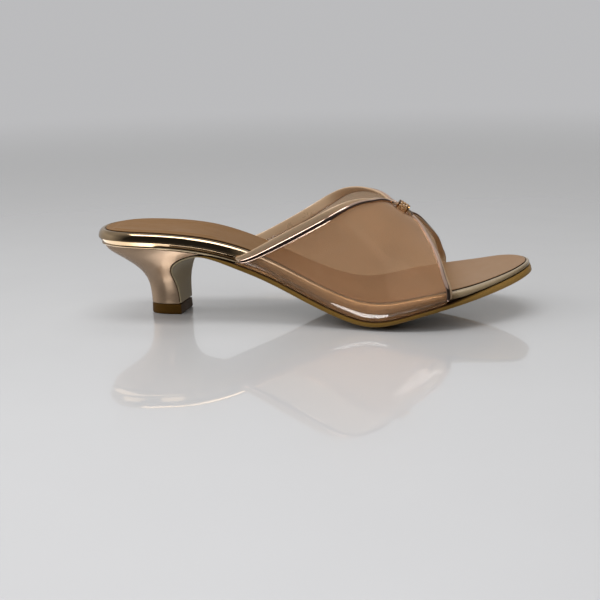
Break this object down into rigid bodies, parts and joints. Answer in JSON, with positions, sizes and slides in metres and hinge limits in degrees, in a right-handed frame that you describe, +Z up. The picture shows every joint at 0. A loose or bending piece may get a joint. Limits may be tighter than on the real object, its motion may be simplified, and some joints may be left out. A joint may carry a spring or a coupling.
{
  "type": "high heel shoe",
  "caption": "Open-toe mule for the right foot on a low flared heel, with a see-through amber band upper edged in rose gold and gathered under a small clasp.",
  "frame": {"origin": "middle of the footprint, on the floor that heel tip and ball stand on", "axes": "+X towards the toe, +Y towards the inner side of the foot, +Z up"},
  "size_m": [0.2536, 0.0878, 0.0708],
  "materials": {
    "footbed": "rose-gold metallic patent",
    "insole": "smooth nude lining",
    "outsole": "satin olive brown",
    "heel": "satin rose-gold metallic",
    "top_piece": "satin brown",
    "upper": "clear amber vinyl",
    "binding": "rose-gold metallic patent",
    "clasp": "polished rose gold"
  },
  "bodies": {
    "root": {"footbed": "footbed", "insole": "insole", "outsole": "outsole", "heel": "heel", "top_piece": "top_piece", "upper": "upper", "rear_binding_lateral": "binding", "rear_binding_medial": "binding", "front_binding_lateral": "binding", "front_binding_medial": "binding", "clasp": "clasp"}
  },
  "joints": []
}
